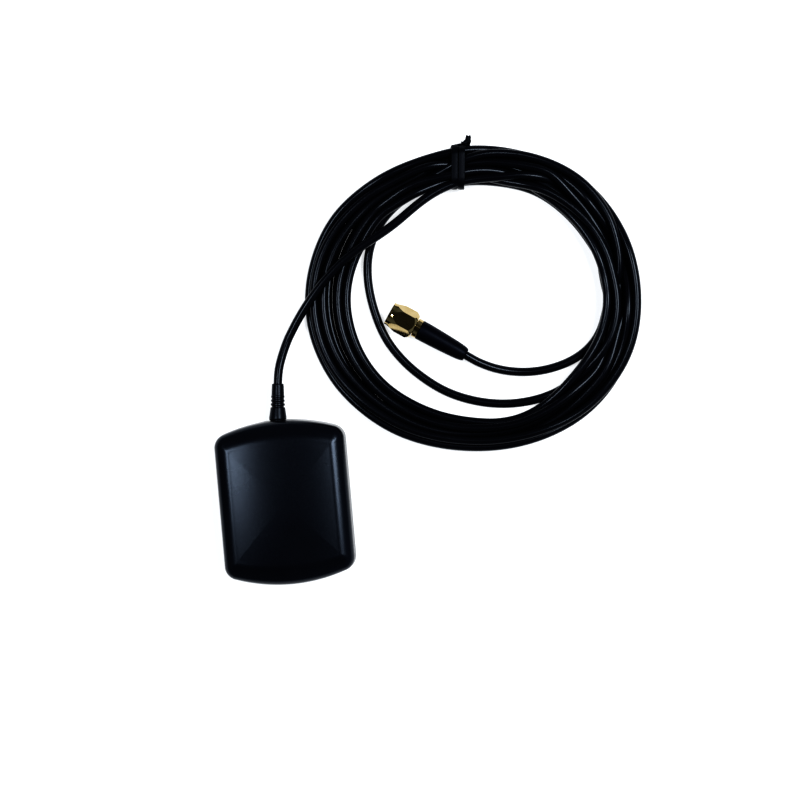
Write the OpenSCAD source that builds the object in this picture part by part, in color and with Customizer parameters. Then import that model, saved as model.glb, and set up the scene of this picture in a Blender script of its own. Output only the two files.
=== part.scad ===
/* [Housing] */
// Width of the housing across its straight sides
housing_w = 42.2; // [41:0.2:46]
// Length of the housing over the crests of its bowed ends
housing_l = 53; // [52:0.5:58]
// Height of the housing from the underside of the pad to the crown
housing_h = 15; // [15:0.5:20]
// How far each end bows out past its corners
end_bow = 4.3; // [3:0.1:4.8]
// Corner radius of the outline
corner_r = 4.8; // [3.6:0.1:5]
// Wall thickness of the upper housing
wall = 1.7; // [1.5:0.1:1.8]
// Thickness of the anti-slip pad
pad_t = 0.8; // [0.7:0.1:0.9]

/* [Magnets] */
// Diameter of each disc magnet
magnet_d = 12; // [8:0.5:13]
// Thickness of each disc magnet
magnet_t = 2.5; // [1.5:0.1:2.8]
// Distance from the middle of the base to each magnet
magnet_y = 11.5; // [8:0.5:12]

/* [Ceramic patch] */
// Side of the square ceramic block
patch_side = 25; // [18:0.5:25]
// Thickness of the ceramic block
patch_t = 4; // [2:0.5:4]
// Side of the metal square on top of the block
patch_metal = 21.6; // [14:0.2:22]

/* [Cable] */
// Outer diameter of the coaxial lead
cable_d = 2.8; // [2.6:0.1:2.8]
// Length of the strain relief outside the housing
relief_l = 11.1; // [10.5:0.1:11.5]
// Radius of the strain relief at its foot
relief_foot_r = 2.8; // [2.6:0.1:3]
// Radius of the strain relief at its tip
relief_tip_r = 1.9; // [1.8:0.1:2.1]

/* [Plug] */
// Distance across the flats of the coupling nut
nut_af = 8; // [7.8:0.1:8]
// Length of the coupling nut
nut_l = 9.2; // [9:0.1:9.3]
// Length of the moulded boot behind the plug
plug_boot_l = 17; // [14:0.5:17]
// How far the nut floats along its axis
nut_float = 0.25; // [0.1:0.05:0.25]

/* [Tie] */
// Width of the twist tie
tie_w = 4.4; // [3:0.2:5]
// Thickness of the twist tie
tie_t = 0.7; // [0.7:0.05:0.75]

/* [Hidden] */

eps = 0.01;
half_w = housing_w / 2;
half_l = housing_l / 2;
cable_r = cable_d / 2;

// Heights inside the housing
rim_z = 1.9;                    // top of the base rim, foot of the upper housing
rim_low = 0.3;                  // underside of the base rim
seal_t = 0.5;
lip_top = 3.4;
boss_z = 3.2;                   // where the housing bosses meet the base bosses
exit_z = 6.2;                   // height of the cable's axis in the housing
board_z = exit_z + cable_r;     // underside of the board
board_t = 0.8;
board_top = board_z + board_t;
tape_t = 0.3;
foil_t = 0.1;
patch_y = -1;
feed_y = -3.5;
screw_x = half_w - 5.9;
screw_y = half_l - 7.5;
post_x = 14.6;
post_y = 9;

// Side and end of the outline, moved in by ix at the sides and iy at the ends.
// The ends are shallow bows and the corners are round.
function bow_y(x, iy) = half_l - iy - end_bow * pow(x / half_w, 2);
function half_outline(ix, iy, nc, ne) =
    let (r = max(corner_r - min(ix, iy), 0.5),
         cx = half_w - ix - r,
         phi = atan(2 * end_bow * (cx + 0.3 * r) / (half_w * half_w)),
         tx = cx + r * sin(phi),
         cy = bow_y(tx, iy) - r * cos(phi))
    concat([for (i = [0:nc]) let (t = i * (90 - phi) / nc) [cx + r * cos(t), cy + r * sin(t)]],
           [for (i = [1:ne - 1]) let (x = tx * (1 - 2 * i / ne)) [x, bow_y(x, iy)]],
           [for (i = [0:nc]) let (t = 90 + phi + i * (90 - phi) / nc) [-cx + r * cos(t), cy + r * sin(t)]]);
function outline(ix, iy, nc = 4, ne = 12) =
    let (h = half_outline(ix, iy, nc, ne)) concat(h, [for (p = h) -p]);

// Flat plate of the outline
module plate(z0, z1, inset) {
    translate([0, 0, z0]) linear_extrude(z1 - z0) polygon(outline(inset, inset));
}

// Closed solid through a stack of rings that all have the same number of points
module rings_solid(rings) {
    n = len(rings[0]);
    m = len(rings);
    polyhedron(
        points = [for (r = rings) each r],
        faces = concat(
            [[for (i = [0:n - 1]) i]],
            [for (k = [0:m - 2]) for (i = [0:n - 1]) let (j = (i + 1) % n)
                each [[k * n + i, (k + 1) * n + j, k * n + j],
                      [k * n + i, (k + 1) * n + i, (k + 1) * n + j]]],
            [[for (i = [n - 1:-1:0]) (m - 1) * n + i]]));
}

// Shell surface: straight side with a little draft, a broad round shoulder, a low crown
function ring_at(ix, iy, z) = [for (p = outline(ix, iy)) [p[0], p[1], z]];
function shell_rings(z0, base, z_side, z_shoulder, z_crown, sx, sy) = concat(
    [ring_at(base, base, z0), ring_at(base + 0.3, base + 0.3, z_side)],
    [for (a = [18:18:90]) ring_at(base + 0.3 + (sx - 0.3) * (1 - cos(a)),
                                  base + 0.3 + (sy - 0.3) * (1 - cos(a)),
                                  z_side + (z_shoulder - z_side) * sin(a))],
    [ring_at(base + sx + 4, base + sy + 5, z_shoulder + 0.7 * (z_crown - z_shoulder)),
     ring_at(base + sx + 9, base + sy + 10, z_crown)]);

module screw_places() {
    for (x = [-screw_x, screw_x]) for (y = [-screw_y, screw_y]) translate([x, y, 0]) children();
}
module post_places() {
    for (x = [-post_x, post_x]) for (y = [-post_y, post_y]) translate([x, y, 0]) children();
}

// ---------------------------------------------------------------- base

module anti_slip_pad() {
    color("dimgray") plate(0, pad_t, 2.1);
}

module base_cover() {
    color("black") difference() {
        union() {
            plate(rim_low, rim_z, 0.3);
            difference() {
                plate(rim_z - eps, lip_top, wall + 0.3);
                plate(rim_z - 1, lip_top + 1, wall + 1.5);
            }
            for (y = [-magnet_y, magnet_y]) translate([0, y, rim_z - eps])
                cylinder(h = lip_top - rim_z, r = magnet_d / 2 + 1.1, $fn = 64);
            screw_places() translate([0, 0, rim_z - eps])
                cylinder(h = boss_z - rim_z + eps, r = 2.6, $fn = 48);
        }
        // recess for the pad
        plate(rim_low - 1, pad_t, 2.0);
        // magnet pockets
        for (y = [-magnet_y, magnet_y]) translate([0, y, 1.1])
            cylinder(h = 5, r = magnet_d / 2 + 0.05, $fn = 64);
        // screw holes with room for the heads
        screw_places() {
            translate([0, 0, 0.5]) cylinder(h = 1.5, r = 1.95, $fn = 48);
            translate([0, 0, 0.5]) cylinder(h = 5, r = 1.05, $fn = 48);
        }
        // gap in the lip where the cable leaves
        translate([-4, half_l - 6, 2.3]) cube([8, 6, 3]);
    }
}

module magnets() {
    color("silver") for (y = [-magnet_y, magnet_y]) translate([0, y, 1.1])
        cylinder(h = magnet_t, r = magnet_d / 2, $fn = 64);
}

module housing_screws() {
    color("gainsboro") screw_places() difference() {
        union() {
            translate([0, 0, 0.85]) cylinder(h = 1.15, r = 1.8, $fn = 48);
            translate([0, 0, 2 - eps]) cylinder(h = 7, r = 0.95, $fn = 48);
        }
        for (a = [0, 90]) rotate([0, 0, a]) translate([-1.1, -0.2, 0.5]) cube([2.2, 0.4, 0.85]);
    }
}

module housing_seal() {
    color("dimgray") difference() {
        plate(rim_z, rim_z + seal_t, 0.7);
        plate(rim_z - 1, rim_z + 2, wall + 0.02);
    }
}

// ---------------------------------------------------------------- upper housing

module radome_cover() {
    color("black") difference() {
        rings_solid(concat(
            [ring_at(0.25, 0.25, rim_z)],
            shell_rings(rim_z + 0.35, 0, housing_h - 5.5, housing_h - 0.5, housing_h, 4.5, 6.4)));
        difference() {
            rings_solid(shell_rings(rim_z - 0.5, wall, housing_h - 6, housing_h - 2.1, housing_h - 1.6, 3.9, 5.6));
            // bosses for the housing screws
            screw_places() translate([0, 0, boss_z]) cylinder(h = 20, r = 2.4, $fn = 48);
            // posts that the board hangs from
            post_places() translate([0, 0, board_top]) cylinder(h = 20, r = 1.9, $fn = 48);
        }
        // rebate for the seal
        plate(rim_z - 1, rim_z + seal_t, 0.6);
        screw_places() translate([0, 0, boss_z - 1]) cylinder(h = 7.8, r = 1, $fn = 48);
        post_places() translate([0, 0, board_top - 1]) cylinder(h = 4.2, r = 0.8, $fn = 48);
        // cable exit
        translate([0, half_l - 5, exit_z]) rotate([-90, 0, 0]) cylinder(h = 10, r = 2.5, $fn = 64);
    }
}

// ---------------------------------------------------------------- board and antenna

module board_screws() {
    color("gainsboro") post_places() {
        translate([0, 0, board_z - 0.9]) cylinder(h = 0.9, r = 1.35, $fn = 48);
        translate([0, 0, board_z - eps]) cylinder(h = 3.6, r = 0.75, $fn = 48);
    }
}

module circuit_board() {
    bx = 16.4;
    by0 = -20.4;
    by1 = 19.4;
    nx = screw_x - 2.7;
    ny = screw_y - 2.7;
    color("darkgreen") translate([0, 0, board_z]) difference() {
        linear_extrude(board_t) polygon([
            [nx, by0], [nx, -ny], [bx, -ny], [bx, ny], [nx, ny], [nx, by1],
            [-nx, by1], [-nx, ny], [-bx, ny], [-bx, -ny], [-nx, -ny], [-nx, by0]]);
        translate([0, feed_y, -1]) cylinder(h = 3, r = 0.5, $fn = 32);
        post_places() translate([0, 0, -1]) cylinder(h = 3, r = 0.85, $fn = 32);
    }
}

module square_plate(side, cut, z0, z1) {
    h = side / 2;
    translate([0, patch_y, z0]) linear_extrude(z1 - z0) polygon([
        [h - cut, -h], [h, -h + cut], [h, h - cut], [h - cut, h],
        [-h + cut, h], [-h, h - cut], [-h, -h + cut], [-h + cut, -h]]);
}

module feed_hole(r) {
    translate([0, feed_y, 5]) cylinder(h = 12, r = r, $fn = 32);
}

module patch_tape() {
    color("khaki") difference() {
        square_plate(patch_side - 1, 0.5, board_top, board_top + tape_t);
        feed_hole(1.2);
    }
}

ground_z = board_top + tape_t;
module ground_electrode() {
    color("silver") difference() {
        square_plate(patch_side - 0.4, 0.6, ground_z, ground_z + foil_t);
        feed_hole(1.0);
    }
}

ceramic_z = ground_z + foil_t;
module patch_ceramic() {
    color("burlywood") difference() {
        square_plate(patch_side, 0.8, ceramic_z, ceramic_z + patch_t);
        feed_hole(0.5);
    }
}

// Two opposite corners of the top metal are cut back for circular polarisation
electrode_z = ceramic_z + patch_t;
module patch_electrode() {
    h = patch_metal / 2;
    c = 2.6;
    color("silver") difference() {
        translate([0, patch_y, electrode_z]) linear_extrude(foil_t) polygon([
            [h, -h], [h, h - c], [h - c, h], [-h, h], [-h, -h + c], [-h + c, -h]]);
        feed_hole(0.5);
    }
}

module feed_pin() {
    z0 = board_z - 0.7;
    z1 = electrode_z + foil_t;
    color("silver") translate([0, feed_y, 0])
        turned([[0, z0], [0.45, z0], [0.45, z1], [0.9, z1], [0.9, z1 + 0.15], [0.7, z1 + 0.2], [0, z1 + 0.2]], 32);
}

module feed_solder() {
    color("lightgray") translate([0, feed_y, board_z]) rotate_extrude($fn = 48)
        polygon([[0.47, 0], [1.1, 0], [0.75, -0.25], [0.47, -0.55]]);
}

module shield_can() {
    w = 22;
    l = 18;
    color("silver") translate([-w / 2, patch_y - 2 - l / 2, board_z - 2.6]) difference() {
        cube([w, l, 2.6]);
        translate([0.2, 0.2, 0.2]) cube([w - 0.4, l - 0.4, 3]);
    }
}

module amplifier_chip() {
    color("dimgray") {
        translate([-6, -3, board_z - 0.75]) cube([2, 2, 0.7]);
        for (i = [0:2]) for (s = [0, 1.75]) translate([-5.8 + i * 0.6, -3 + s, board_z - 0.06]) cube([0.3, 0.25, 0.06]);
    }
}

module filter_block() {
    color("khaki") translate([3.6, -3.5, board_z - 1.1]) cube([3, 3, 1.1]);
}

module regulator() {
    color("dimgray") {
        translate([-9, 10.4, board_z - 1.1]) cube([2.9, 1.6, 1]);
        for (i = [0, 1.9]) translate([-8.7 + i, 10, board_z - 0.12]) cube([0.4, 0.8, 0.12]);
        translate([-7.75, 11.6, board_z - 0.12]) cube([0.4, 0.8, 0.12]);
    }
}

// Chip capacitors and resistors, all one size
module chip_passives() {
    color("tan") for (p = [[-3, -9], [-1, -9], [1, -9], [3, -9], [-3, 2], [1, 2], [-4, 10.5], [-4, 12.5], [3, 10.5]])
        translate([p[0], p[1], board_z - 0.5]) cube([1, 0.5, 0.5]);
}

// ---------------------------------------------------------------- cable end in the housing

// Runs a child's +Z along +Y at the height of the cable's axis
module along_exit(y) { translate([0, y, exit_z]) rotate([-90, 0, 0]) children(); }

strip_y = 19.5;                 // where the jacket ends inside
layer_end = 22;                 // depth to which the inner layers are modelled
pivot_y = half_l + 0.4;         // where the strain relief starts to lean
lean = 5;                       // lean of the strain relief, towards +X

module along_relief(s) { translate([0, pivot_y, exit_z]) rotate([0, 0, -lean]) rotate([-90, 0, 0]) translate([0, 0, s]) children(); }

module coax_conductor() {
    color("silver") along_exit(12.2) cylinder(h = layer_end - 12.2, r = 0.24, $fn = 32);
}

module coax_dielectric() {
    color("white") along_exit(15.2) difference() {
        cylinder(h = layer_end - 15.2, r = 0.76, $fn = 32);
        translate([0, 0, -1]) cylinder(h = 12, r = 0.26, $fn = 32);
    }
}

module coax_braid() {
    color("silver") along_exit(16.2) difference() {
        cylinder(h = layer_end - 16.2, r = 1, $fn = 48);
        translate([0, 0, -1]) cylinder(h = 12, r = 0.78, $fn = 48);
    }
}

module ground_clamp() {
    color("silver") difference() {
        union() {
            along_exit(16.4) cylinder(h = 2.4, r = 1.35, $fn = 48);
            translate([-1.35, 16.4, exit_z]) cube([2.7, 2.4, board_z - exit_z]);
            translate([-2.8, 16.4, board_z - 0.3]) cube([5.6, 2.4, 0.3]);
        }
        along_exit(16) cylinder(h = 4, r = 1.02, $fn = 48);
    }
}

module cable_solder() {
    color("lightgray") difference() {
        translate([0, 12.9, board_z]) mirror([0, 0, 1]) cylinder(h = 1.9, r1 = 1.2, r2 = 0.7, $fn = 48);
        along_exit(11) cylinder(h = 6, r = 0.26, $fn = 32);
    }
}

module cable_entry() {
    color("black") along_exit(strip_y) difference() {
        cylinder(h = pivot_y - strip_y, r = cable_r, $fn = 48);
        translate([0, 0, -1]) cylinder(h = layer_end - strip_y + 1, r = 1.02, $fn = 48);
    }
}

// Flange inside the wall, neck through it, then a cone, three rings and a plain sleeve
module strain_relief() {
    r0 = relief_foot_r;
    r1 = r0 - 0.45;
    rt = relief_tip_r;
    p = 1.27;
    s0 = 3.6;
    color("black") difference() {
        union() {
            along_exit(0) turned([[0, half_l - 3.1], [2.8, half_l - 3.1], [2.8, half_l - 2.15], [2.45, half_l - 2.15],
                                  [2.45, half_l], [r0, half_l], [r0, half_l + 0.8], [0, half_l + 0.8]]);
            along_relief(0) turned(concat([[0, 0], [r0 - 0.1, 0], [r0 - 0.1, 0.6], [r1 + 0.05, s0]],
                [for (i = [0:2]) each [[rt, s0 + i * p], [rt, s0 + i * p + 0.5],
                                       [r1 - 0.1 * i, s0 + i * p + 0.55], [r1 - 0.1 * i, s0 + (i + 1) * p - 0.05]]],
                [[rt + 0.1, s0 + 3 * p], [rt, relief_l - 0.2], [rt - 0.2, relief_l], [0, relief_l]]));
        }
        along_exit(half_l - 4) cylinder(h = 4.5, r = cable_r + 0.04, $fn = 48);
        along_relief(-0.1) cylinder(h = relief_l + 1, r = cable_r + 0.02, $fn = 48);
    }
}

// ---------------------------------------------------------------- free lead

// Smooth curve through hand-placed points (Catmull-Rom), s steps to each span
function cr(a, b, c, d, t) = 0.5 * ((2 * b) + (c - a) * t + (2 * a - 5 * b + 4 * c - d) * t * t
                                    + (3 * b - a - 3 * c + d) * t * t * t);
function smooth(p, s) = let (n = len(p)) concat(
    [for (i = [0:n - 2]) for (k = [0:s - 1])
        cr(i == 0 ? 2 * p[0] - p[1] : p[i - 1], p[i], p[i + 1],
           i == n - 2 ? 2 * p[n - 1] - p[n - 2] : p[i + 2], k / s)],
    [p[n - 1]]);
function unit(v) = v / norm(v);

// Round tube along a list of points; it never runs upright
module tube(path, r, sides = 8) {
    n = len(path);
    rings_solid([for (i = [0:n - 1])
        let (t = unit(path[min(i + 1, n - 1)] - path[max(i - 1, 0)]),
             u = unit(cross(t, [0, 0, 1])),
             v = cross(u, t))
        [for (k = [0:sides - 1]) let (a = (k + 0.5) * 360 / sides) path[i] + r * (cos(a) * u - sin(a) * v)]]);
}

// From inside the strain relief up on to the coil and along it to the tie
tip = [relief_l * sin(lean), pivot_y + relief_l * cos(lean), exit_z];
tail_route = [[0, pivot_y, exit_z], tip / 2 + [0, pivot_y, exit_z] / 2, tip, [1.7, 42.5, 6], [3.2, 47, 5.6], [5.6, 52.2, 5.4], [9, 57.8, 5.8], [13.4, 63.4, 6.6],
              [19.8, 69.8, 7.2], [27.6, 76.2, 7.4], [36.2, 82, 7.5], [43.7, 86.6, 7.6], [49.7, 90.9, 7.6],
              [56, 94.7, 7.1], [65, 97.6, 6.5]];

// The last lap: it leaves the bundle at the lower right, lies alone on the ground and goes back in
inner_route = [[95, 31.2, 3.4], [91, 28.4, 2.6], [84.6, 26, 1.7], [78, 25.2, 1.4], [71.6, 25.4, 1.4], [65.2, 26.6, 1.4],
               [59, 28.8, 1.4], [53.6, 31.6, 1.4], [48.4, 35.4, 1.4], [43.4, 40.2, 1.4], [39.2, 45.8, 1.4],
               [36.4, 51, 1.4], [34.4, 57.2, 1.4], [33.2, 63.2, 1.4], [32.7, 69, 1.4], [33.1, 75, 1.5],
               [35, 80.2, 2], [40, 86.8, 3], [46.8, 92.2, 3.6]];

// Plug axis: the middle of the nut's front face, and the direction from there to the cable
plug_at = [38.7, 57.5, nut_af / 2];
plug_turn = -34;
plug_dir = [cos(plug_turn), sin(plug_turn), 0];
boot_from = 11;
boot_end = boot_from + plug_boot_l;
plug_rear = plug_at + boot_end * plug_dir;

// From the plug's boot down to the ground and into the inner side of the bundle
plug_route = [plug_rear, plug_rear + [4.6, -2.9, -0.6], [72.8, 36.4, 2.2], [79, 35.1, 1.6], [85.6, 34.9, 1.4],
              [92.4, 36, 1.4], [98.4, 38.6, 1.5], [103.2, 42, 1.8], [106.6, 46.4, 2.4], [108.6, 52, 3.2]];

module cable_tail() {
    color("black") tube(smooth(tail_route, 1), cable_r);
}

module cable_inner_loop() {
    color("black") tube(smooth(inner_route, 1), cable_r);
}

module cable_plug_lead() {
    color("black") tube(smooth(plug_route, 1), cable_r);
}

// The wound bundle: its outer and inner radius and its top, at every 15 degrees clockwise
// round its middle, from 5 degrees past +Y
coil_at = [65.3, 59.7, 0];
coil_from = 5;
// an oval lying across the part, a little thinner on its left side
function coil_outer(a) = 51.5 - 2.6 * cos(2 * (a - 5)) + 0.9 * sin(a - 5);
function coil_inner(a) = 38.5 - 1.9 * cos(2 * (a - 5)) + 1.6 * sin(a - 5);
coil_top = [8.4, 8, 7.8, 7.6, 7.6, 7.6, 7.6, 7.6, 7.6, 7.6, 7.4, 7.2,
            7, 7, 6.8, 6.4, 6, 5.6, 5.4, 5.4, 5.6, 6.2, 7.2, 8.2];
coil_low = [0.8, 0.3, 0, 0, 0, 0, 0, 0, 0, 0, 0, 0,
            0, 0, 0, 0, 0, 0, 0, 0, 0, 0, 0.1, 0.5];

function around(list, i, t) = let (n = len(list))
    cr(list[(i + n - 1) % n], list[i % n], list[(i + 1) % n], list[(i + 2) % n], t);
function soft(c) = (c < 0 ? -1 : 1) * pow(abs(c), 0.75);

module cable_coil() {
    m = 48;
    sides = 12;
    rings = [for (k = [0:m - 1])
        let (i = floor(k / 2), t = (k % 2) / 2,
             a = coil_from + k * 360 / m,
             ro = coil_outer(a), ri = coil_inner(a),
             zt = around(coil_top, i, t), zb = max(0, around(coil_low, i, t)))
        [for (s = [0:sides - 1])
            let (q = (s + 0.5) * 360 / sides,
                 r = (ro + ri) / 2 + (ro - ri) / 2 * soft(cos(q)),
                 z = (zt + zb) / 2 + (zt - zb) / 2 * soft(sin(q)) / soft(sin(75)))
            coil_at + [r * sin(a), r * cos(a), z]]];
    color("black") polyhedron(
        points = [for (r = rings) each r],
        faces = [for (k = [0:m - 1]) for (s = [0:sides - 1])
            let (j = (s + 1) % sides, k2 = (k + 1) % m)
            each [[k * sides + s, k2 * sides + j, k * sides + j],
                  [k * sides + s, k2 * sides + s, k2 * sides + j]]]);
}

// ---------------------------------------------------------------- tie

tie_turn = -0.8;                // place of the tie round the bundle, clockwise from +Y
tie_lean = 6;                   // how far its outer side leans clockwise
tie_r0 = 35.9;                  // inner and outer reach of the bundle at the tie
tie_r1 = 49.4;
tie_z0 = tie_t + 0.05;
tie_z1 = 8.5;

function round_rect(x0, x1, y0, y1, r, n = 6) = [
    for (c = [[x1 - r, y1 - r, 0], [x0 + r, y1 - r, 90], [x0 + r, y0 + r, 180], [x1 - r, y0 + r, 270]])
        for (i = [0:n]) let (a = c[2] + i * 90 / n) [c[0] + r * cos(a), c[1] + r * sin(a)]];

// Places a thing drawn outward along X from the coil's middle at the tie, leaning with it
module tie_place() {
    translate(coil_at) rotate([0, 0, 90 - tie_turn])
        translate([43, 0, 0]) rotate([0, 0, -tie_lean]) translate([-43, 0, 0]) children();
}

// Lays a section drawn as (outward, up) across the bundle at the tie
module at_tie(w) {
    tie_place() rotate([90, 0, 0]) translate([0, 0, -w / 2]) linear_extrude(w) children();
}

module tie_band(w, grow_out, grow_in) {
    at_tie(w) difference() {
        polygon(round_rect(tie_r0 - grow_out, tie_r1 + grow_out, tie_z0 - grow_out, tie_z1 + grow_out, 3 + grow_out));
        polygon(round_rect(tie_r0 - grow_in, tie_r1 + grow_in, tie_z0 - grow_in, tie_z1 + grow_in, 3 + grow_in));
    }
}

module coil_tie() {
    color("black") difference() {
        union() {
            tie_band(tie_w, tie_t, 0);
            // twisted ends, standing out past the bundle
            tie_place() translate([tie_r1 + 0.35, -2.7, 5]) rotate([0, 90, 0]) {
                cylinder(h = 2.2, r = 1, $fn = 32);
                translate([0, 0, 2.2]) sphere(r = 1, $fn = 32);
            }
        }
        tie_band(0.5, 0.55, 0.15);
    }
}

module tie_wire() {
    color("silver") tie_band(0.4, 0.5, 0.2);
}

// ---------------------------------------------------------------- plug

// Runs a child's +Z from the nut's front towards the cable
module at_plug() { translate(plug_at) rotate([0, 0, plug_turn]) rotate([0, 90, 0]) children(); }
module turned(points, n = 64) { rotate_extrude($fn = n) polygon(points); }

neck_r = 2.5;
shoulder_t = nut_l + 0.2;       // front of the gold shoulder behind the nut

module connector_body() {
    color("goldenrod") at_plug() turned([
        [2.05, 3.4], [2.2, 3.4], [2.28, 3.5], [2.28, 4.9], [2.8, 4.9], [2.8, 5.6], [neck_r, 5.6],
        [neck_r, 6.25 - nut_float], [2.15, 6.25 - nut_float], [2.15, 6.85], [neck_r, 6.85], [neck_r, shoulder_t],
        [3.05, shoulder_t], [3.2, shoulder_t + 0.15], [3.2, boot_from - 0.15], [3.05, boot_from],
        [1.65, boot_from], [1.65, 17], [0.8, 17], [0.8, boot_from - 0.1], [2.05, boot_from - 0.1]]);
}

module insulator() {
    color("white") at_plug() turned([
        [0.66, 3.4], [2.03, 3.4], [2.03, boot_from - 0.15], [0.66, boot_from - 0.15]]);
}

module centre_contact() {
    color("gold") at_plug() turned([
        [0, 1], [0.2, 1], [0.46, 1.4], [0.46, 3.4], [0.64, 3.4], [0.64, 10.7], [0.26, 10.7], [0.26, 9], [0, 9]], 48);
}

module sealing_ring() {
    color("firebrick") at_plug() turned([
        [2.32, 4.1], [2.78, 4.1], [2.78, 4.9], [2.32, 4.9]]);
}

module retaining_ring() {
    color("gold") at_plug() difference() {
        turned([[2.25, 6.3], [2.85, 6.3], [2.85, 6.8], [2.25, 6.8]]);
        translate([0, -0.5, 5]) cube([5, 1, 3]);
    }
}

module coupling_nut() {
    corner = nut_af / 2 / cos(30);
    flat = nut_af / 2;
    color("goldenrod") at_plug() difference() {
        union() {
            // round rim in front of the hexagon
            cylinder(h = 1.2, r = flat - 0.15, $fn = 64);
            intersection() {
                translate([0, 0, 0.9]) rotate([0, 0, 30]) cylinder(h = nut_l - 0.9, r = corner, $fn = 6);
                // long lead-in at the front, shorter one at the back
                turned([[0, 0.9], [flat - 0.1, 0.9], [corner + 0.05, 4.2], [corner + 0.05, nut_l - 1.4],
                        [flat - 0.2, nut_l], [0, nut_l]]);
            }
        }
        turned([[0, -1], [3.35, -1], [3.35, 0], [2.87, 0.5], [2.87, 5.9], [2.58, 5.9], [2.58, 6.25],
                [2.95, 6.25], [2.95, 6.85], [2.58, 6.85], [2.58, nut_l + 1], [0, nut_l + 1]]);
    }
}

module crimp_ferrule() {
    color("goldenrod") at_plug() turned([
        [1.92, boot_from + 0.1], [2.4, boot_from + 0.1], [2.4, 18.4], [1.92, 18.4]]);
}

module plug_braid() {
    color("silver") at_plug() turned([
        [1.68, 11.3], [1.9, 11.3], [1.9, 17], [1, 18.5], [1, 21], [0.78, 21], [0.78, 18.5], [1.68, 17.02]]);
}

module plug_dielectric() {
    color("white") at_plug() turned([
        [0.26, 11], [0.76, 11], [0.76, 21], [0.26, 21]]);
}

module plug_conductor() {
    color("silver") at_plug() translate([0, 0, 9.02]) cylinder(h = 11.98, r = 0.24, $fn = 32);
}

module plug_jacket_end() {
    color("black") at_plug() difference() {
        translate([0, 0, 18.55]) cylinder(h = boot_end - 18.55, r = cable_r, $fn = 48);
        translate([0, 0, 17]) cylinder(h = 4, r = 1.02, $fn = 48);
    }
}

module plug_boot() {
    color("black") at_plug() turned([
        [2.42, boot_from], [3.05, boot_from], [3.2, boot_from + 0.2], [3.12, boot_from + 5],
        [2.65, boot_end - 3.4], [2.5, boot_end - 1.4], [2.2, boot_end - 0.3], [2, boot_end],
        [cable_r + 0.02, boot_end], [cable_r + 0.02, 18.5], [2.42, 18.5]]);
}

anti_slip_pad();
base_cover();
magnets();
housing_screws();
housing_seal();
radome_cover();
board_screws();
circuit_board();
patch_tape();
ground_electrode();
patch_ceramic();
patch_electrode();
feed_pin();
feed_solder();
shield_can();
amplifier_chip();
filter_block();
regulator();
chip_passives();
ground_clamp();
coax_braid();
coax_dielectric();
coax_conductor();
cable_solder();
cable_entry();
strain_relief();
cable_tail();
cable_coil();
cable_inner_loop();
cable_plug_lead();
coil_tie();
tie_wire();
plug_jacket_end();
plug_boot();
crimp_ferrule();
plug_braid();
plug_dielectric();
plug_conductor();
connector_body();
insulator();
centre_contact();
sealing_ring();
retaining_ring();
coupling_nut();
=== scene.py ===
import math
import bpy
import bmesh
import numpy as np
from mathutils import Matrix, Vector


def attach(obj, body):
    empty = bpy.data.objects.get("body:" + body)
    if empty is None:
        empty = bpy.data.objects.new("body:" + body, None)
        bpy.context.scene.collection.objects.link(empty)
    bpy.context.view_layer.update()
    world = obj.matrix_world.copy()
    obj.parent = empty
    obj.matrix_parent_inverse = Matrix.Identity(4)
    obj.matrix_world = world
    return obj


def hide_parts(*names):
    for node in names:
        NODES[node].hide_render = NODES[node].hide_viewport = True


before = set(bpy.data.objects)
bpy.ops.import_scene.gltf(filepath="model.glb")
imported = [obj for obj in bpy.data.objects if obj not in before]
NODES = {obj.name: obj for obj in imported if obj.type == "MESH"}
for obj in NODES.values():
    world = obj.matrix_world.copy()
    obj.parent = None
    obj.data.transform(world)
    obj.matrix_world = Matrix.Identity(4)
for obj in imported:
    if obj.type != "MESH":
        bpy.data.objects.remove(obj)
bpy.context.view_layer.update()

MM = 0.001
scene = bpy.context.scene


# ------------------------------------------------------------------ camera and world

TURN = -5.06                      # the picture's up is the housing's +Y turned by this much
VIEW_H = 620.0                    # height of the camera over the table, mm
VIEW_W = 257.6                    # width of the table that the picture takes in, mm

cam_data = bpy.data.cameras.new("cam")
cam_data.sensor_width = 36.0
cam_data.lens = 36.0 * (VIEW_H - 4) / VIEW_W
cam_data.clip_start = 0.01
cam = bpy.data.objects.new("cam", cam_data)
cam.location = (39.55 * MM, 29.3 * MM, VIEW_H * MM)
cam.rotation_euler = (0, 0, math.radians(TURN))
scene.collection.objects.link(cam)
scene.camera = cam
scene.view_settings.view_transform = "Standard"
scene.view_settings.look = "Very High Contrast"


# ------------------------------------------------------------------ the lead's course

D = 2.8                           # diameter of the lead, mm
C = np.array([65.3, 59.7])        # middle of the coil
TIE = -0.8                        # place of the tie, degrees clockwise from +Y
STEP = 2.0                        # degrees from point to point: 180 points to a turn
K = 180
COIL_OUT = [49.2, 50.2, 51.6, 53.2, 54, 54.2, 54.4, 54.6, 54.2, 53, 51.2, 49.8,
            49, 49.2, 50.2, 51.2, 52.6, 53.8, 54.2, 53.8, 52.6, 50.6, 49, 48.4]
COIL_IN = [36.8, 37.6, 39.2, 40, 40.8, 41.6, 42.2, 41.6, 40.2, 39.4, 40.2, 39.6,
           38, 37.4, 37.4, 38, 38.4, 38.6, 38.8, 38.4, 37.6, 37.2, 36.9, 36.4]
COIL_TOP = [8.4, 8, 7.8, 7.6, 7.6, 7.6, 7.6, 7.6, 7.6, 7.6, 7.4, 7.2,
            7, 7, 6.8, 6.4, 6, 5.6, 5.4, 5.4, 5.6, 6.2, 7.2, 8.2]
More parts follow.
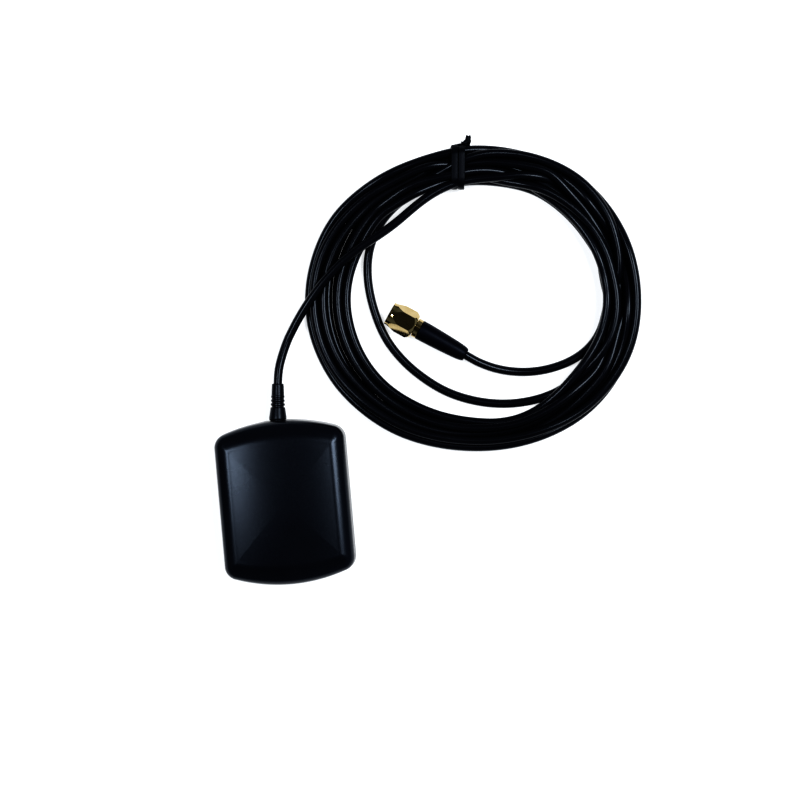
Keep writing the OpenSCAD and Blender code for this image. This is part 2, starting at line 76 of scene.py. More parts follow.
# part.scad's route of the tail up to the coil
TAIL_START = [(0, 26.9, 6.2), (0.48, 32.43, 6.2), (0.97, 37.96, 6.2), (1.7, 42.5, 6), (3.2, 47, 5.6),
              (5.6, 52.2, 5.4), (9, 57.8, 5.8)]
# degrees, distance from the coil's middle and height of the stretches that can be followed
TAIL = [(-86, 52.2, 6.6), (-76, 46.4, 7.1), (-66, 41.3, 7.3), (-57, 37.6, 7.4), (-50, 35.3, 7.5), (-44, 34.2, 7.5),
        (-38, 33.8, 7.6), (-30, 34.1, 7.6), (-22, 34.9, 7.5), (-15, 35.8, 7.2), (-6, 37.1, 6.9), (2, 37.8, 6.6),
        (30, 40.6, 6.4)]
INNER = [(130, 43.4, 4.2), (141, 41.2, 2.8), (150.3, 38.9, 1.7), (159.7, 36.9, 1.4), (169.6, 34.9, 1.4), (180, 33.1, 1.4),
         (191.5, 31.6, 1.4), (199.5, 30.9, 1.4), (213.6, 29.6, 1.4), (228.2, 29.4, 1.4), (242.6, 29.7, 1.4),
         (249.3, 30.3, 1.4), (261.2, 30.7, 1.4), (271.1, 31.6, 1.4), (281.3, 33.1, 1.4), (290.7, 34.7, 1.4),
         (298.7, 36.3, 1.8), (307.5, 37.4, 2.6), (318.6, 38.6, 3.0), (330.3, 38.9, 3.2), (346, 39.2, 3.8)]
PLUG_RUN = [(90, 44.0, 4.4), (100.6, 43.6, 2.6), (108.7, 43.7, 1.8), (115.5, 42.2, 1.4), (123.1, 39.7, 1.4),
            (130.2, 36.3, 1.4), (141.1, 32, 1.4), (151, 28.1, 1.4), (162.6, 24.4, 2.0), (176.9, 20.6, 3.2),
            (190.5, 18.2, 4.0)]


def table(values, deg):
    """A closed table of 24 values at every 15 degrees from 5 degrees, read smoothly."""
    k = ((deg - 5) % 360) / 15
    i = np.floor(k).astype(int)
    t = k - i
    v = np.array(values)
    a, b, c, d = v[(i - 1) % 24], v[i % 24], v[(i + 1) % 24], v[(i + 2) % 24]
    return 0.5 * (2 * b + (c - a) * t + (2 * a - 5 * b + 4 * c - d) * t * t + (3 * b - a - 3 * c + d) * t ** 3)


def ease(x):
    x = np.clip(x, 0, 1)
    return x * x * (3 - 2 * x)


def along(rows, deg):
    a = np.array(rows, float)
    return np.interp(deg, a[:, 0], a[:, 1]), np.interp(deg, a[:, 0], a[:, 2])


def soften(x, n, where=None):
    for _ in range(n):
        y = x.copy()
        y[1:-1] = 0.25 * x[:-2] + 0.5 * x[1:-1] + 0.25 * x[2:]
        x[:] = y if where is None else np.where(where, y, x)


def wind(seed=7, rounds=1600):
    """Winds the lead: nine laps squeezed between the bundle's inner and outer outline, laid on the table and on
    each other a diameter apart, with the tail, the innermost lap and the run to the plug on their own courses."""
    rng = np.random.default_rng(seed)
    first = -86.0
    th = np.arange(first, 3600 + 190.5, STEP)
    n_all = len(th)
    G, H, hold = np.zeros(n_all), np.zeros(n_all), np.zeros(n_all)
    stretches = [(TAIL, 0, -999, -998, TIE, TIE + 28), (INNER, 3240, 130, 148, 318, 346), (PLUG_RUN, 3600, 90, 106, 998, 999)]
    for rows, shift, a, b, c, d in stretches:
        rel = th - shift
        m = (rel >= a) & (rel <= d)
        g, h = along(rows, rel)
        G[m], H[m] = g[m], h[m]
        hold[m] = (ease((rel - a) / (b - a)) * ease((d - rel) / (d - c)))[m]
        idx = np.where(m)[0]
        sl = slice(idx[0], idx[-1] + 1)
        for X in (G, H):
            part = X[sl].copy()
            soften(part, 14)
            X[sl] = part
    lap = np.floor((th - TIE) / 360)
    knot = np.arange(first - 120, 4100, 140.0)
    w = rng.uniform(0, 1, len(knot))
    w[1:-1] = 0.25 * w[:-2] + 0.5 * w[1:-1] + 0.25 * w[2:]
    w = (w - w.min()) / (w.max() - w.min())
    kk = (th - knot[0]) / 140.0
    i = np.floor(kk).astype(int)
    t = ease(kk - i)
    want = w[i] * (1 - t) + w[i + 1] * t
    ro, ri = table(COIL_OUT, th), table(COIL_IN, th)
    top = table(COIL_TOP, th) - D / 2
    station = np.round((th - first) / STEP).astype(int) % K
    target = np.zeros(n_all)
    for s in range(K):
        idx = np.where((station == s) & (hold < 0.5))[0]
        order = idx[np.argsort(want[idx], kind="stable")]
        target[order] = (np.arange(len(order)) + 0.5) / max(len(order), 1)
    soften(target, 260)
    lo, hi = ri + D / 2, ro - D / 2
    tr = lo + (hi - lo) * np.clip((target - 0.5) * 1.25 + 0.5, 0, 1)
    R = hold * G + (1 - hold) * tr
    Z = hold * H + (1 - hold) * (1.4 + 0.42 * np.clip(lap, 0, 11))
    most = max(np.bincount(station))
    tab = -np.ones((K, most), int)
    for s in range(K):
        idx = np.where(station == s)[0]
        tab[s, :len(idx)] = idx
    ok = tab >= 0
    tabs = np.where(ok, tab, 0)
    flat = tab[ok]
    pairs = ok[:, :, None] & ok[:, None, :] & ~np.eye(most, dtype=bool)[None]
    inv = np.clip(1 - hold, 0.02, 1)
    wi = inv[tabs]
    share = wi[:, :, None] / (wi[:, :, None] + wi[:, None, :])
    lift = D / 2 + 0.8 * np.exp(-((((th - TIE + 180) % 360) - 180) / 7.0) ** 2)
    lo2 = np.where(hold > 0.02, 0, lo)
    hi2 = np.where(hold > 0.02, 99, hi)
    cap = np.maximum(np.where(hold > 0.02, 99, top + 0.5), lift)
    pull = 0.25 * hold
    for it in range(rounds):
        f = it / rounds
        Z -= (0.02 if f < 0.8 else 0.006) * (1 - hold)
        R += (0.02 if f < 0.5 else 0.003) * (1 - hold) * (tr - R)
        R += pull * (G - R)
        Z += pull * (H - Z)
        k = 0.45 if f < 0.93 else 0.12
        for X in (R, Z):
            for _ in range(2):
                sm = X.copy()
                sm[1:-1] = 0.5 * (X[:-2] + X[2:])
                X += k * (sm - X)
        for _ in range(2):
            r, z = R[tabs], Z[tabs]
            dr = r[:, :, None] - r[:, None, :]
            dz = z[:, :, None] - z[:, None, :]
            dist = np.sqrt(dr * dr + dz * dz) + 1e-9
            over = np.where(pairs & (dist < D), D - dist, 0.0)
            cnt = np.maximum((over > 0).sum(2) * 0.6, 1)
            R[flat] += ((over * share * dr / dist).sum(2) / cnt)[ok]
            Z[flat] += ((over * share * dz / dist).sum(2) / cnt)[ok]
            Z = np.minimum(np.maximum(Z, lift), cap)
            R = np.clip(R, lo2, hi2)
    soften(R, 8)
    soften(Z, 8)
    Z = np.maximum(Z, D / 2)
    a = np.radians(th)
    return np.stack([C[0] + R * np.sin(a), C[1] + R * np.cos(a), Z], 1)


def catmull(points, gap):
    """Points about gap apart along a smooth curve through the given ones."""
    p = np.array(points, float)
    q = np.vstack([2 * p[0] - p[1], p, 2 * p[-1] - p[-2]])
    out = []
    for i in range(1, len(q) - 2):
        a, b, c, d = q[i - 1], q[i], q[i + 1], q[i + 2]
        n = max(2, int(round(np.linalg.norm(c - b) / gap)))
        for k in range(n):
            t = k / n
            out.append(0.5 * (2 * b + (c - a) * t + (2 * a - 5 * b + 4 * c - d) * t * t + (3 * b - a - 3 * c + d) * t ** 3))
    out.append(p[-1])
    return np.array(out)


PLUG_AT = np.array([38.7, 57.5, 4.0])
PLUG_TURN = math.radians(-34)
PLUG_DIR = np.array([math.cos(PLUG_TURN), math.sin(PLUG_TURN), 0.0])


def on_plug(t):
    return PLUG_AT + PLUG_DIR * t


wound = wind()
lead = np.vstack([catmull(TAIL_START + [tuple(wound[0])], 1.5)[:-1], wound,
                  catmull([tuple(wound[-1]), tuple(on_plug(27.6)), tuple(on_plug(26))], 1.2)[1:]])
joins = np.zeros(len(lead), bool)
start_n = len(catmull(TAIL_START + [tuple(wound[0])], 1.5)) - 1
joins[start_n - 8:start_n + 8] = True
joins[-9:-2] = True
for axis in range(3):
    col = lead[:, axis].copy()
    soften(col, 12, joins)
    lead[:, axis] = col


# ------------------------------------------------------------------ materials

def new_mat(name):
    m = bpy.data.materials.new(name)
    m.use_nodes = True
    nt = m.node_tree
    return m, nt, nt.nodes["Principled BSDF"]


def coords(nt, scale=(1, 1, 1)):
    tc = nt.nodes.new("ShaderNodeTexCoord")
    mp = nt.nodes.new("ShaderNodeMapping")
    mp.inputs["Scale"].default_value = scale
    nt.links.new(tc.outputs["Object"], mp.inputs["Vector"])
    return mp.outputs["Vector"]


def noise(nt, vec, scale, detail=2.0, rough=0.5, distortion=0.0):
    n = nt.nodes.new("ShaderNodeTexNoise")
    n.inputs["Scale"].default_value = scale
    n.inputs["Detail"].default_value = detail
    n.inputs["Roughness"].default_value = rough
    n.inputs["Distortion"].default_value = distortion
    nt.links.new(vec, n.inputs["Vector"])
    return n.outputs["Fac"]


def remap(nt, fac, a, b, lo=0.0, hi=1.0):
    r = nt.nodes.new("ShaderNodeMapRange")
    r.inputs["From Min"].default_value = lo
    r.inputs["From Max"].default_value = hi
    r.inputs["To Min"].default_value = a
    r.inputs["To Max"].default_value = b
    nt.links.new(fac, r.inputs["Value"])
    return r.outputs["Result"]


def mix_color(nt, fac, a, b):
    m = nt.nodes.new("ShaderNodeMix")
    m.data_type = "RGBA"
    m.inputs["A"].default_value = (*a, 1)
    m.inputs["B"].default_value = (*b, 1)
    nt.links.new(fac, m.inputs["Factor"])
    return m.outputs["Result"]


def bump(nt, bsdf, height, strength, distance, normal=None):
    b = nt.nodes.new("ShaderNodeBump")
    b.inputs["Strength"].default_value = strength
    b.inputs["Distance"].default_value = distance
    nt.links.new(height, b.inputs["Height"])
    if normal is not None:
        nt.links.new(normal, b.inputs["Normal"])
    if bsdf is not None:
        nt.links.new(b.outputs["Normal"], bsdf.inputs["Normal"])
    return b.outputs["Normal"]


def plastic(name, a, b, rough, grain_scale, grain_depth, wave_depth=0.0, metallic=0.0, ior=1.5, coat=0.0,
            rough_spread=0.06, strength=0.35, tint=None):
    """Moulded or drawn surface: two close colours, fine grain, slow change of polish."""
    m, nt, p = new_mat(name)
    v = coords(nt)
    slow = noise(nt, v, 60, 3)
    fine = noise(nt, v, grain_scale, 2, 0.6)
    nt.links.new(mix_color(nt, remap(nt, slow, 0, 1, 0.35, 0.65), a, b), p.inputs["Base Color"])
    nt.links.new(remap(nt, fine, rough - rough_spread, rough + rough_spread, 0.3, 0.7), p.inputs["Roughness"])
    p.inputs["Metallic"].default_value = metallic
    p.inputs["IOR"].default_value = ior
    if tint:
        p.inputs["Specular Tint"].default_value = (*tint, 1)
    if coat:
        p.inputs["Coat Weight"].default_value = coat
        p.inputs["Coat Roughness"].default_value = 0.12
    nrm = bump(nt, None, fine, strength, grain_depth)
    if wave_depth:
        nrm = bump(nt, None, noise(nt, v, 180, 1), strength, wave_depth, nrm)
    nt.links.new(nrm, p.inputs["Normal"])
    return m


def metal(name, a, b, rough, scratch=0.25, grain=9000, depth=0.000004, spread=0.08):
    m, nt, p = new_mat(name)
    v = coords(nt)
    slow = noise(nt, v, 350, 3)
    fine = noise(nt, v, grain, 3, 0.6)
    nt.links.new(mix_color(nt, remap(nt, slow, 0, 1, 0.3, 0.7), a, b), p.inputs["Base Color"])
    nt.links.new(remap(nt, fine, rough - spread, rough + spread, 0.3, 0.7), p.inputs["Roughness"])
    p.inputs["Metallic"].default_value = 1.0
    bump(nt, p, fine, scratch, depth)
    return m


housing_mat = plastic("housing_plastic", (0.0045, 0.0052, 0.0080), (0.0060, 0.0068, 0.0100), 0.25, 5200, 0.00002, ior=1.34, tint=(0.68, 0.81, 1.0), rough_spread=0.04)
base_mat = plastic("base_plastic", (0.008, 0.008, 0.010), (0.012, 0.012, 0.014), 0.5, 5200, 0.00003)
pad_mat = plastic("pad_rubber", (0.020, 0.020, 0.021), (0.032, 0.032, 0.033), 0.8, 2600, 0.00008, strength=0.6)
cable_mat = plastic("cable_pvc", (0.0040, 0.0043, 0.0068), (0.0058, 0.0062, 0.009), 0.24, 2600, 0.000003, 0.000012, rough_spread=0.03, strength=0.25, ior=1.27, tint=(0.80, 0.89, 1.0))
relief_mat = plastic("relief_pvc", (0.0040, 0.0043, 0.0068), (0.0058, 0.0062, 0.0090), 0.34, 3600, 0.000006, 0.00001, ior=1.28, tint=(0.75, 0.86, 1.0))
boot_mat = plastic("boot_pvc", (0.0028, 0.0030, 0.0062), (0.0040, 0.0044, 0.0080), 0.42, 4200, 0.00002, 0.00003, ior=1.2, tint=(0.7, 0.8, 1.0))
tie_mat = plastic("tie_plastic", (0.0025, 0.0027, 0.0045), (0.0038, 0.0040, 0.0062), 0.5, 3000, 0.000006, ior=1.22, tint=(0.8, 0.88, 1.0))
gold_mat = metal("gold_plating", (0.44, 0.34, 0.16), (0.52, 0.42, 0.23), 0.12, 0.16, 7000, 0.000002, 0.03)
gold_dark_mat = metal("gold_plating_inner", (0.72, 0.52, 0.22), (0.82, 0.62, 0.3), 0.2, 0.2, 7000, 0.000002, 0.05)
steel_mat = metal("steel", (0.55, 0.55, 0.55), (0.68, 0.68, 0.67), 0.3)
silver_mat = metal("silver_metal", (0.72, 0.71, 0.68), (0.82, 0.81, 0.78), 0.35)
ceramic_mat = plastic("ceramic", (0.60, 0.50, 0.34), (0.70, 0.60, 0.42), 0.6, 3000, 0.00002)
board_mat = plastic("board", (0.012, 0.10, 0.04), (0.02, 0.14, 0.06), 0.35, 2000, 0.00001)
white_mat = plastic("ptfe", (0.78, 0.78, 0.75), (0.86, 0.86, 0.83), 0.45, 2500, 0.00001)
chip_mat = plastic("chip", (0.02, 0.02, 0.02), (0.03, 0.03, 0.03), 0.5, 4000, 0.00001)
tape_mat = plastic("tape", (0.55, 0.5, 0.33), (0.65, 0.6, 0.42), 0.6, 3000, 0.00001)
red_mat = plastic("silicone", (0.42, 0.05, 0.03), (0.52, 0.08, 0.05), 0.45, 2500, 0.00001)

LOOK = {
    "anti_slip_pad": pad_mat, "base_cover": base_mat, "magnets": steel_mat, "housing_screws": steel_mat,
    "housing_seal": pad_mat, "radome_cover": housing_mat, "board_screws": steel_mat, "circuit_board": board_mat,
    "patch_tape": tape_mat, "ground_electrode": silver_mat, "patch_ceramic": ceramic_mat, "patch_electrode": silver_mat,
    "feed_pin": silver_mat, "feed_solder": silver_mat, "shield_can": silver_mat, "amplifier_chip": chip_mat,
    "filter_block": ceramic_mat, "regulator": chip_mat, "chip_passives": ceramic_mat, "ground_clamp": silver_mat,
    "coax_braid": silver_mat, "coax_dielectric": white_mat, "coax_conductor": silver_mat, "cable_solder": silver_mat,
    "cable_entry": cable_mat, "strain_relief": relief_mat, "coil_tie": tie_mat, "tie_wire": steel_mat,
    "plug_jacket_end": cable_mat, "plug_boot": boot_mat, "crimp_ferrule": gold_dark_mat, "plug_braid": silver_mat,
    "plug_dielectric": white_mat, "plug_conductor": silver_mat, "connector_body": gold_mat, "insulator": white_mat,
    "centre_contact": gold_mat, "sealing_ring": red_mat, "retaining_ring": gold_dark_mat, "coupling_nut": gold_mat,
}
for name, mat in LOOK.items():
    me = NODES[name].data
    if len(me.materials) == 0:
        me.materials.append(mat)
    for i in range(len(me.materials)):
        me.materials[i] = mat


# ------------------------------------------------------------------ mesh helpers

def mesh_object(name, verts, faces, mat, smooth=True):
    me = bpy.data.meshes.new(name)
    me.from_pydata([tuple(v) for v in verts], [], [tuple(f) for f in faces])
    me.validate()
    bm = bmesh.new()
    bm.from_mesh(me)
    bmesh.ops.recalc_face_normals(bm, faces=bm.faces)
    bm.to_mesh(me)
    bm.free()
    if smooth:
        me.polygons.foreach_set("use_smooth", [True] * len(me.polygons))
    me.materials.append(mat)
    ob = bpy.data.objects.new(name, me)
    scene.collection.objects.link(ob)
    return ob


def loft(rings, close_start=True, close_end=True, closed=False):
    """Vertices and faces of a skin over rings that all have the same number of points. With closed, the last ring
    joins the first."""
    n, m = len(rings[0]), len(rings)
    verts = [p for r in rings for p in r]
    faces = []
    for k in range(m if closed else m - 1):
        k2 = (k + 1) % m
        for i in range(n):
            j = (i + 1) % n
            faces.append((k * n + i, k * n + j, k2 * n + j, k2 * n + i))
    if not closed:
        if close_start:
            verts.append(np.mean(rings[0], axis=0))
            c = len(verts) - 1
            faces += [(c, (i + 1) % n, i) for i in range(n)]
        if close_end:
            verts.append(np.mean(rings[-1], axis=0))
            c = len(verts) - 1
            faces += [(c, (m - 1) * n + i, (m - 1) * n + (i + 1) % n) for i in range(n)]
    return verts, faces


def frame_of(direction, up=(0, 0, 1)):
    t = np.array(direction, float)
    t /= np.linalg.norm(t)
    u = np.cross(t, up)
    u /= np.linalg.norm(u)
    return t, u, np.cross(u, t)


def lathe_rings(profile, origin, direction, sides=64):
    """Rings of a turned piece. profile is (distance along the axis, radius) in mm."""
    t, u, v = frame_of(direction)
    a = np.linspace(0, 2 * np.pi, sides, endpoint=False)
    rings = []
    for s, r in profile:
        c = np.array(origin) + t * s
        rings.append([(c + r * (math.cos(x) * u + math.sin(x) * v)) * MM for x in a])
    return rings


def rounded_profile(points, r, n=5):
    """A profile with its corners rounded to about r."""
    p = [np.array(q, float) for q in points]
    out = [p[0]]
    for i in range(1, len(p) - 1):
        a, b, c = p[i - 1], p[i], p[i + 1]
        la, lc = np.linalg.norm(a - b), np.linalg.norm(c - b)
        k = min(r, 0.45 * la, 0.45 * lc)
        s, e = b + (a - b) / la * k, b + (c - b) / lc * k
        for q in range(n + 1):
            t = q / n
            out.append((1 - t) ** 2 * s + 2 * t * (1 - t) * b + t * t * e)
    out.append(p[-1])
    return [tuple(q) for q in out]


# ------------------------------------------------------------------ the lead

cu = bpy.data.curves.new("lead", "CURVE")
cu.dimensions = "3D"
cu.bevel_depth = D / 2 * MM
cu.bevel_resolution = 5
cu.use_fill_caps = True
cu.resolution_u = 1
sp = cu.splines.new("POLY")
sp.points.add(len(lead) - 1)
flat_co = np.ones((len(lead), 4))
flat_co[:, :3] = lead * MM
sp.points.foreach_set("co", flat_co.ravel())
sp.use_smooth = True
cu.materials.append(cable_mat)
lead_ob = bpy.data.objects.new("lead", cu)
scene.collection.objects.link(lead_ob)
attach(lead_ob, "antenna")
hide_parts("cable_tail", "cable_coil", "cable_inner_loop", "cable_plug_lead")


# ------------------------------------------------------------------ upper housing

HW, HL, BOW, CR = 21.1, 26.5, 4.3, 4.8


def outline(ix, iy, nc=12, ne=36):
    r = max(CR - min(ix, iy), 0.5)
    cx = HW - ix - r
    phi = math.atan(2 * BOW * (cx + 0.3 * r) / (HW * HW))
    tx = cx + r * math.sin(phi)

    def bow(x):
        return HL - iy - BOW * (x / HW) ** 2
    cy = bow(tx) - r * math.cos(phi)
    q = math.pi / 2 - phi
    h = [(cx + r * math.cos(i * q / nc), cy + r * math.sin(i * q / nc)) for i in range(nc + 1)]
    h += [(tx * (1 - 2 * i / ne), bow(tx * (1 - 2 * i / ne))) for i in range(1, ne)]
    h += [(-cx + r * math.cos(math.pi / 2 + phi + i * q / nc), cy + r * math.sin(math.pi / 2 + phi + i * q / nc)) for i in range(nc + 1)]
    return np.array(h + [(-x, -y) for x, y in h])


def housing_rings():
    rings = []

    def add(ix, iy, z):
        o = outline(ix, iy)
        rings.append([(x * MM, y * MM, z * MM) for x, y in o])
    # inside, from the ceiling down to the rim
    add(9, 10, 13.2)
    for a in np.linspace(90, 0, 7):
        s, c = math.sin(math.radians(a)), math.cos(math.radians(a))
        add(2 + 3.6 * (1 - c), 2 + 5.3 * (1 - c), 9 + 3.9 * s)
    add(1.7, 1.7, 2.4)
    add(0.75, 0.75, 2.38)
    add(0.7, 0.7, 1.95)
    add(0.55, 0.55, 1.9)
    add(0.3, 0.3, 1.9)
    # outside: rounded foot, straight side with a little draft
    for a in np.linspace(15, 90, 6):
        s, c = math.sin(math.radians(a)), math.cos(math.radians(a))
        add(0.3 - 0.3 * s, 0.3 - 0.3 * s, 2.25 - 0.35 * c)
    for z in np.linspace(3.0, 9.2, 8):
        add(0.3 * (z - 2.25) / 7.25, 0.3 * (z - 2.25) / 7.25, z)
    # shoulder: bends quickly at the wall and more slowly toward the crown
    inset, z, tilt = 0.3, 9.5, 90.0
    first = len(rings)
    while tilt > 7.0:
        add(inset, inset * (1 + 0.33 * min(1.0, inset / 3)), z)
        step = 3.0 if tilt > 36 else 1.6
        mid = math.radians(tilt - step / 2)
        bend = 4.0 + 2.5 * float(ease((46 - tilt) / 20.0))
        inset += bend * math.cos(mid) * math.radians(step)
        z += bend * math.sin(mid) * math.radians(step)
        tilt -= step
    iy0 = inset * 1.33
    edge = outline(inset, iy0)
    half_x, half_y = HW - inset, HL - iy0

    def crown(x, y):
        """Height of the top face: a low dome, level in the middle."""
        return 15.0 - 0.84 * (x / half_x) ** 2 - 0.62 * (y / half_y) ** 2
    # the shoulder follows the edge of the dome, which is lowest at the corners
    for n in range(first, len(rings)):
        share = max(0.0, (rings[n][0][2] / MM - 9.5) / (z - 9.5)) ** 2
        rings[n] = [(px, py, pz + share * (crown(*e) - z) * MM) for (px, py, pz), e in zip(rings[n], edge)]
    for t in np.linspace(0, 1, 30):
        u = t * 0.95
        o = [(x * (1 - u), y * (1 - u)) for x, y in edge]
        rings.append([(x * MM, y * MM, crown(x, y) * MM) for x, y in o])
    return rings


v, f = loft(housing_rings())
housing = mesh_object("housing_shell", v, f, housing_mat)
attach(housing, "antenna")
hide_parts("radome_cover")


# ------------------------------------------------------------------ strain relief

LEAN = math.radians(5)
LEAN_DIR = np.array([math.sin(LEAN), math.cos(LEAN), 0.0])
PIVOT = np.array([0.0, 26.9, 6.2])
prof = [(-3.5, 1.44), (-3.5, 2.75), (-2.6, 2.8), (-2.55, 2.45), (-0.5, 2.45), (-0.42, 2.62), (-0.25, 2.8), (0.4, 2.78),
        (2.2, 2.52), (3.35, 2.36), (3.5, 2.3), (3.58, 1.95), (4.05, 1.95), (4.12, 2.26), (4.75, 2.24), (4.85, 1.95),
        (5.3, 1.95), (5.38, 2.2), (6.0, 2.18), (6.1, 1.95), (6.55, 1.95), (6.62, 2.14), (7.25, 2.12), (7.35, 2.02),
        (8.2, 2.0), (10.4, 1.92), (10.95, 1.86), (11.1, 1.66), (11.1, 1.42), (9, 1.42)]
prof = rounded_profile(prof, 0.12, 3)


def relief_rings():
    rings = []
    a = np.linspace(0, 2 * np.pi, 56, endpoint=False)
    for s, r in prof:
        k = ease(np.array((s + 0.6) / 1.6)) if s > -0.6 else 0.0
        ang = float(k) * LEAN
        if s <= 0:
            c = PIVOT + np.array([0, s, 0])
        else:
            c = PIVOT + LEAN_DIR * s
        t, u, w = frame_of((math.sin(ang), math.cos(ang), 0))
        rings.append([(c + r * (math.cos(x) * u + math.sin(x) * w)) * MM for x in a])
    return rings


v, f = loft(relief_rings(), False, False, closed=True)
relief = mesh_object("relief_sleeve", v, f, relief_mat)
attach(relief, "antenna")
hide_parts("strain_relief")


# ------------------------------------------------------------------ twist tie

R0, R1, Z0, Z1, TT = 35.9, 49.1, 0.75, 8.4, 0.6


def tie_path(n=16):
    """Closed path of the ribbon's middle, as (outward, up), with outward normals."""
    g = TT / 2
    x0, x1, z0, z1, r = R0 - g, R1 + g, Z0 - g, Z1 + g, 3 + g
    out = []
    for cx, cz, a0 in ((x1 - r, z1 - r, 0), (x0 + r, z1 - r, 90), (x0 + r, z0 + r, 180), (x1 - r, z0 + r, 270)):
        for i in range(n + 1):
            a = math.radians(a0 + i * 90 / n)
            out.append((cx + r * math.cos(a), cz + r * math.sin(a), math.cos(a), math.sin(a)))
    return out


TIE_LEAN = math.radians(6)


def place_tie(rad, up, side):
    """Point at the tie: outward from the coil's middle, up, and along the bundle (clockwise). The tie leans a little
    clockwise on its outer side."""
    cs, sn = math.cos(TIE_LEAN), math.sin(TIE_LEAN)
    rad, side = 43 + (rad - 43) * cs - side * sn, side * cs + (rad - 43) * sn
    a = math.radians(TIE)
    o = np.array([math.sin(a), math.cos(a), 0])
    t = np.array([math.cos(a), -math.sin(a), 0])
    return (np.array([C[0], C[1], 0]) + o * rad + np.array([0, 0, up]) + t * side) * MM


def flat_section(w, h, n=20, ridge=0.38):
    """Section of the ribbon, as (along its width, along its thickness): rounded edges, a ridge over the wire."""
    out = []
    for i in range(n):
        a = 2 * math.pi * i / n
        s = (w / 2) * math.copysign(abs(math.cos(a)) ** 0.5, math.cos(a))
        q = (h / 2) * math.copysign(abs(math.sin(a)) ** 0.5, math.sin(a))
        out.append((s, q * (1 - ridge + ridge * math.exp(-(s / 0.4) ** 2))))
    return out


v, f = [], []


def add_part(rings, closed=False):
    v2, f2 = loft(rings, closed=closed)
    n0 = len(v)
    v.extend(v2)
    f.extend(tuple(i + n0 for i in g) for g in f2)


# two turns of the ribbon side by side, not quite even
for band, (mid_side, width, seed) in enumerate(((-1.18, 2.1, 0.3), (1.12, 2.15, 1.9))):
    rings = []
    path = tie_path()
    for k, (x, z, nx, nz) in enumerate(path):
        ph = 2 * math.pi * k / len(path)
        wob = 0.13 * math.sin(ph + seed) + 0.07 * math.sin(3 * ph + 2 * seed)
        dent = 0.07 * math.sin(5 * ph + seed)
        tip_ = 0.10 * math.sin(2 * ph + seed)
        rings.append([place_tie(x + nx * (q + dent + tip_ * s), z + nz * (q + dent + tip_ * s), s + mid_side + wob)
                      for s, q in flat_section(width, 0.52)])
    add_part(rings, closed=True)
# the two ends: each comes off its turn on the outer side, and they twist round each other and stand out
for strand, route in enumerate((
        [(0.05, -2.0, 5.5), (0.25, -0.9, 5.5), (0.50, 0.2, 5.4), (0.85, 1.3, 5.25), (1.35, 2.3, 5.1), (1.9, 2.95, 5.0), (2.5, 3.2, 5.0), (3.25, 3.3, 5.0)],
        [(-0.1, 0.9, 4.4), (0.10, 1.6, 4.45), (0.40, 2.4, 4.6), (0.8, 2.95, 4.75), (1.3, 3.2, 4.9), (1.9, 3.3, 5.0), (2.5, 3.35, 5.0), (3.15, 3.4, 5.0)])):
    mids = catmull(route, 0.09)
    far = np.clip((mids[:, 0] - 0.7) / 2.6, 0, 1)
    twist = strand * math.pi + far * 2.4 * math.pi
    reach = 0.56 * ease((mids[:, 0] - 0.3) / 0.8)
    path3 = np.stack([mids[:, 0], mids[:, 1] + reach * np.cos(twist), mids[:, 2] + reach * np.sin(twist)], 1)
    rings = []
    for k, p in enumerate(path3):
        t = path3[min(k + 1, len(path3) - 1)] - path3[max(k - 1, 0)]
        t = t / np.linalg.norm(t)
        wide = np.array([0, 0, 1.0]) - t * t[2]
        wide = wide / np.linalg.norm(wide)
        thick = np.cross(t, wide)
        spin = far[k] * 2.4 * math.pi
        w2 = math.cos(spin) * wide + math.sin(spin) * thick
        h2 = -math.sin(spin) * wide + math.cos(spin) * thick
        left = (len(path3) - 1 - k) / 4.0
        shrink = 1.0 if left >= 1 else math.sqrt(max(0.05, 1 - (1 - left) ** 2))
        width = 2.3 - 0.3 * float(far[k])
        rings.append([place_tie(R1 + q[0], q[2], q[1]) for q in
                      (p + w2 * a_ * shrink + h2 * b_ * shrink for a_, b_ in flat_section(width, 0.85, 16, 0.25))])
    add_part(rings)
tie = mesh_object("tie_ribbon", v, f, tie_mat)
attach(tie, "antenna")
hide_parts("coil_tie", "tie_wire")


# ------------------------------------------------------------------ plug boot

boot_prof = rounded_profile([(18.6, 2.42), (11.0, 2.42), (11.0, 3.05), (11.15, 3.2), (13, 3.2), (16, 3.12), (20, 2.95), (23.5, 2.76),
                             (25.2, 2.62), (26.6, 2.45), (27.5, 2.24), (28.0, 1.9), (28.0, 1.42), (18.6, 1.42)], 0.15, 4)
v, f = loft(lathe_rings(boot_prof, PLUG_AT, PLUG_DIR, 72), False, False, closed=True)
boot = mesh_object("plug_sleeve", v, f, boot_mat)
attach(boot, "antenna")
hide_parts("plug_boot")


# ------------------------------------------------------------------ table and light

fm, fnt, fp = new_mat("floor")
fv = coords(fnt)
fnt.links.new(mix_color(fnt, remap(fnt, noise(fnt, fv, 8, 2), 0, 1, 0.3, 0.7), (0.49, 0.49, 0.49), (0.51, 0.51, 0.51)), fp.inputs["Base Color"])
fp.inputs["Roughness"].default_value = 0.9
fp.inputs["Specular IOR Level"].default_value = 0.1
floor = mesh_object("floor", [(-4, -4, 0), (4, -4, 0), (4, 4, 0), (-4, 4, 0)], [(0, 1, 2, 3)], fm, smooth=False)
floor.location.z = -0.00002
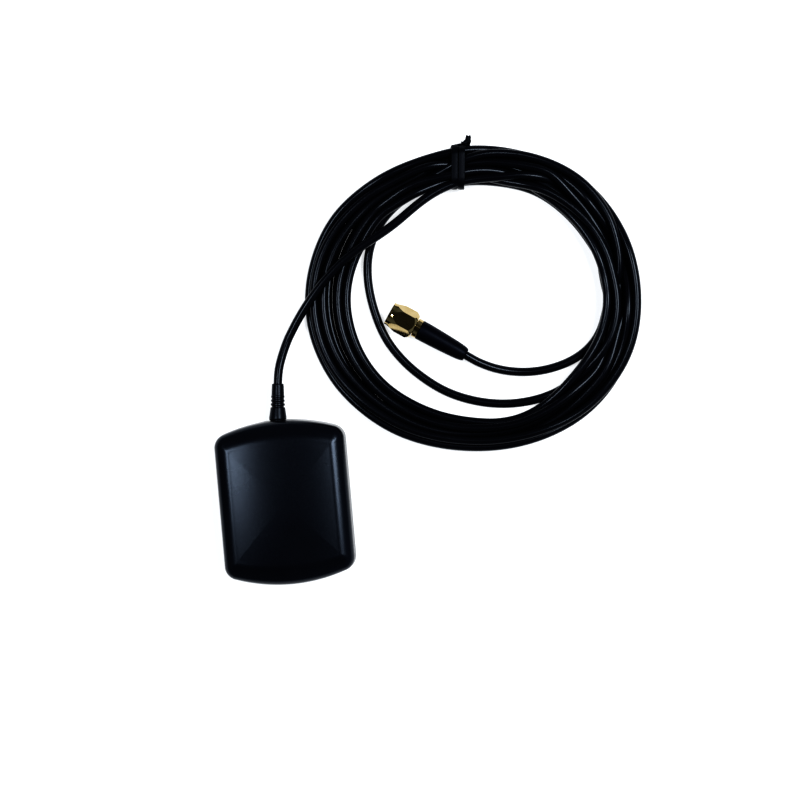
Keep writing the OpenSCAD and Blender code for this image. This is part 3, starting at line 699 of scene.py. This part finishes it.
# the table is a lit white sheet, so shadows on it stay faint
fp.inputs["Emission Color"].default_value = (0.97, 0.985, 1.0, 1)
fp.inputs["Emission Strength"].default_value = 0.42

world = bpy.data.worlds.new("studio")
scene.world = world
world.use_nodes = True
wn = world.node_tree
wtc = wn.nodes.new("ShaderNodeTexCoord")


def toward(x, y, z, lo, hi, out_lo, out_hi):
    """Brightness that goes from out_lo to out_hi as the direction turns toward the given one."""
    d = wn.nodes.new("ShaderNodeVectorMath")
    d.operation = "DOT_PRODUCT"
    wn.links.new(wtc.outputs["Generated"], d.inputs[0])
    d.inputs[1].default_value = Vector((x, y, z)).normalized()
    r = wn.nodes.new("ShaderNodeMapRange")
    r.interpolation_type = "SMOOTHSTEP"
    r.inputs["From Min"].default_value = lo
    r.inputs["From Max"].default_value = hi
    r.inputs["To Min"].default_value = out_lo
    r.inputs["To Max"].default_value = out_hi
    wn.links.new(d.outputs["Value"], r.inputs["Value"])
    return r.outputs["Result"]


side_glow = toward(1.0, -0.2, 0.2, 0.1, 0.9, 0.16, 0.26)
overhead = toward(0, 0, 1, 0.5, 0.95, 1.0, 0.1)
mul = wn.nodes.new("ShaderNodeMath")
mul.operation = "MULTIPLY"
wn.links.new(side_glow, mul.inputs[0])
wn.links.new(overhead, mul.inputs[1])
bg = wn.nodes["Background"]
bg.inputs["Color"].default_value = (0.78, 0.88, 1.0, 1)
wn.links.new(mul.outputs["Value"], bg.inputs["Strength"])


def area(name, place, size, power, color=(1, 1, 1)):
    """A softbox at a place given in mm, facing the object."""
    ld = bpy.data.lights.new(name, "AREA")
    ld.shape = "RECTANGLE"
    ld.size, ld.size_y = size
    ld.energy = power
    ld.color = color
    ob = bpy.data.objects.new(name, ld)
    ob.location = Vector(place) * MM
    ob.rotation_euler = (Vector((0.045, 0.035, 0)) - ob.location).to_track_quat("-Z", "Y").to_euler()
    scene.collection.objects.link(ob)
    return ob


area("key", (-420, 125, 1000), (0.30, 0.26), 4.0, (0.95, 0.975, 1.0))
area("side", (545, 150, 1050), (0.36, 0.40), 8.5, (0.95, 0.975, 1.0))
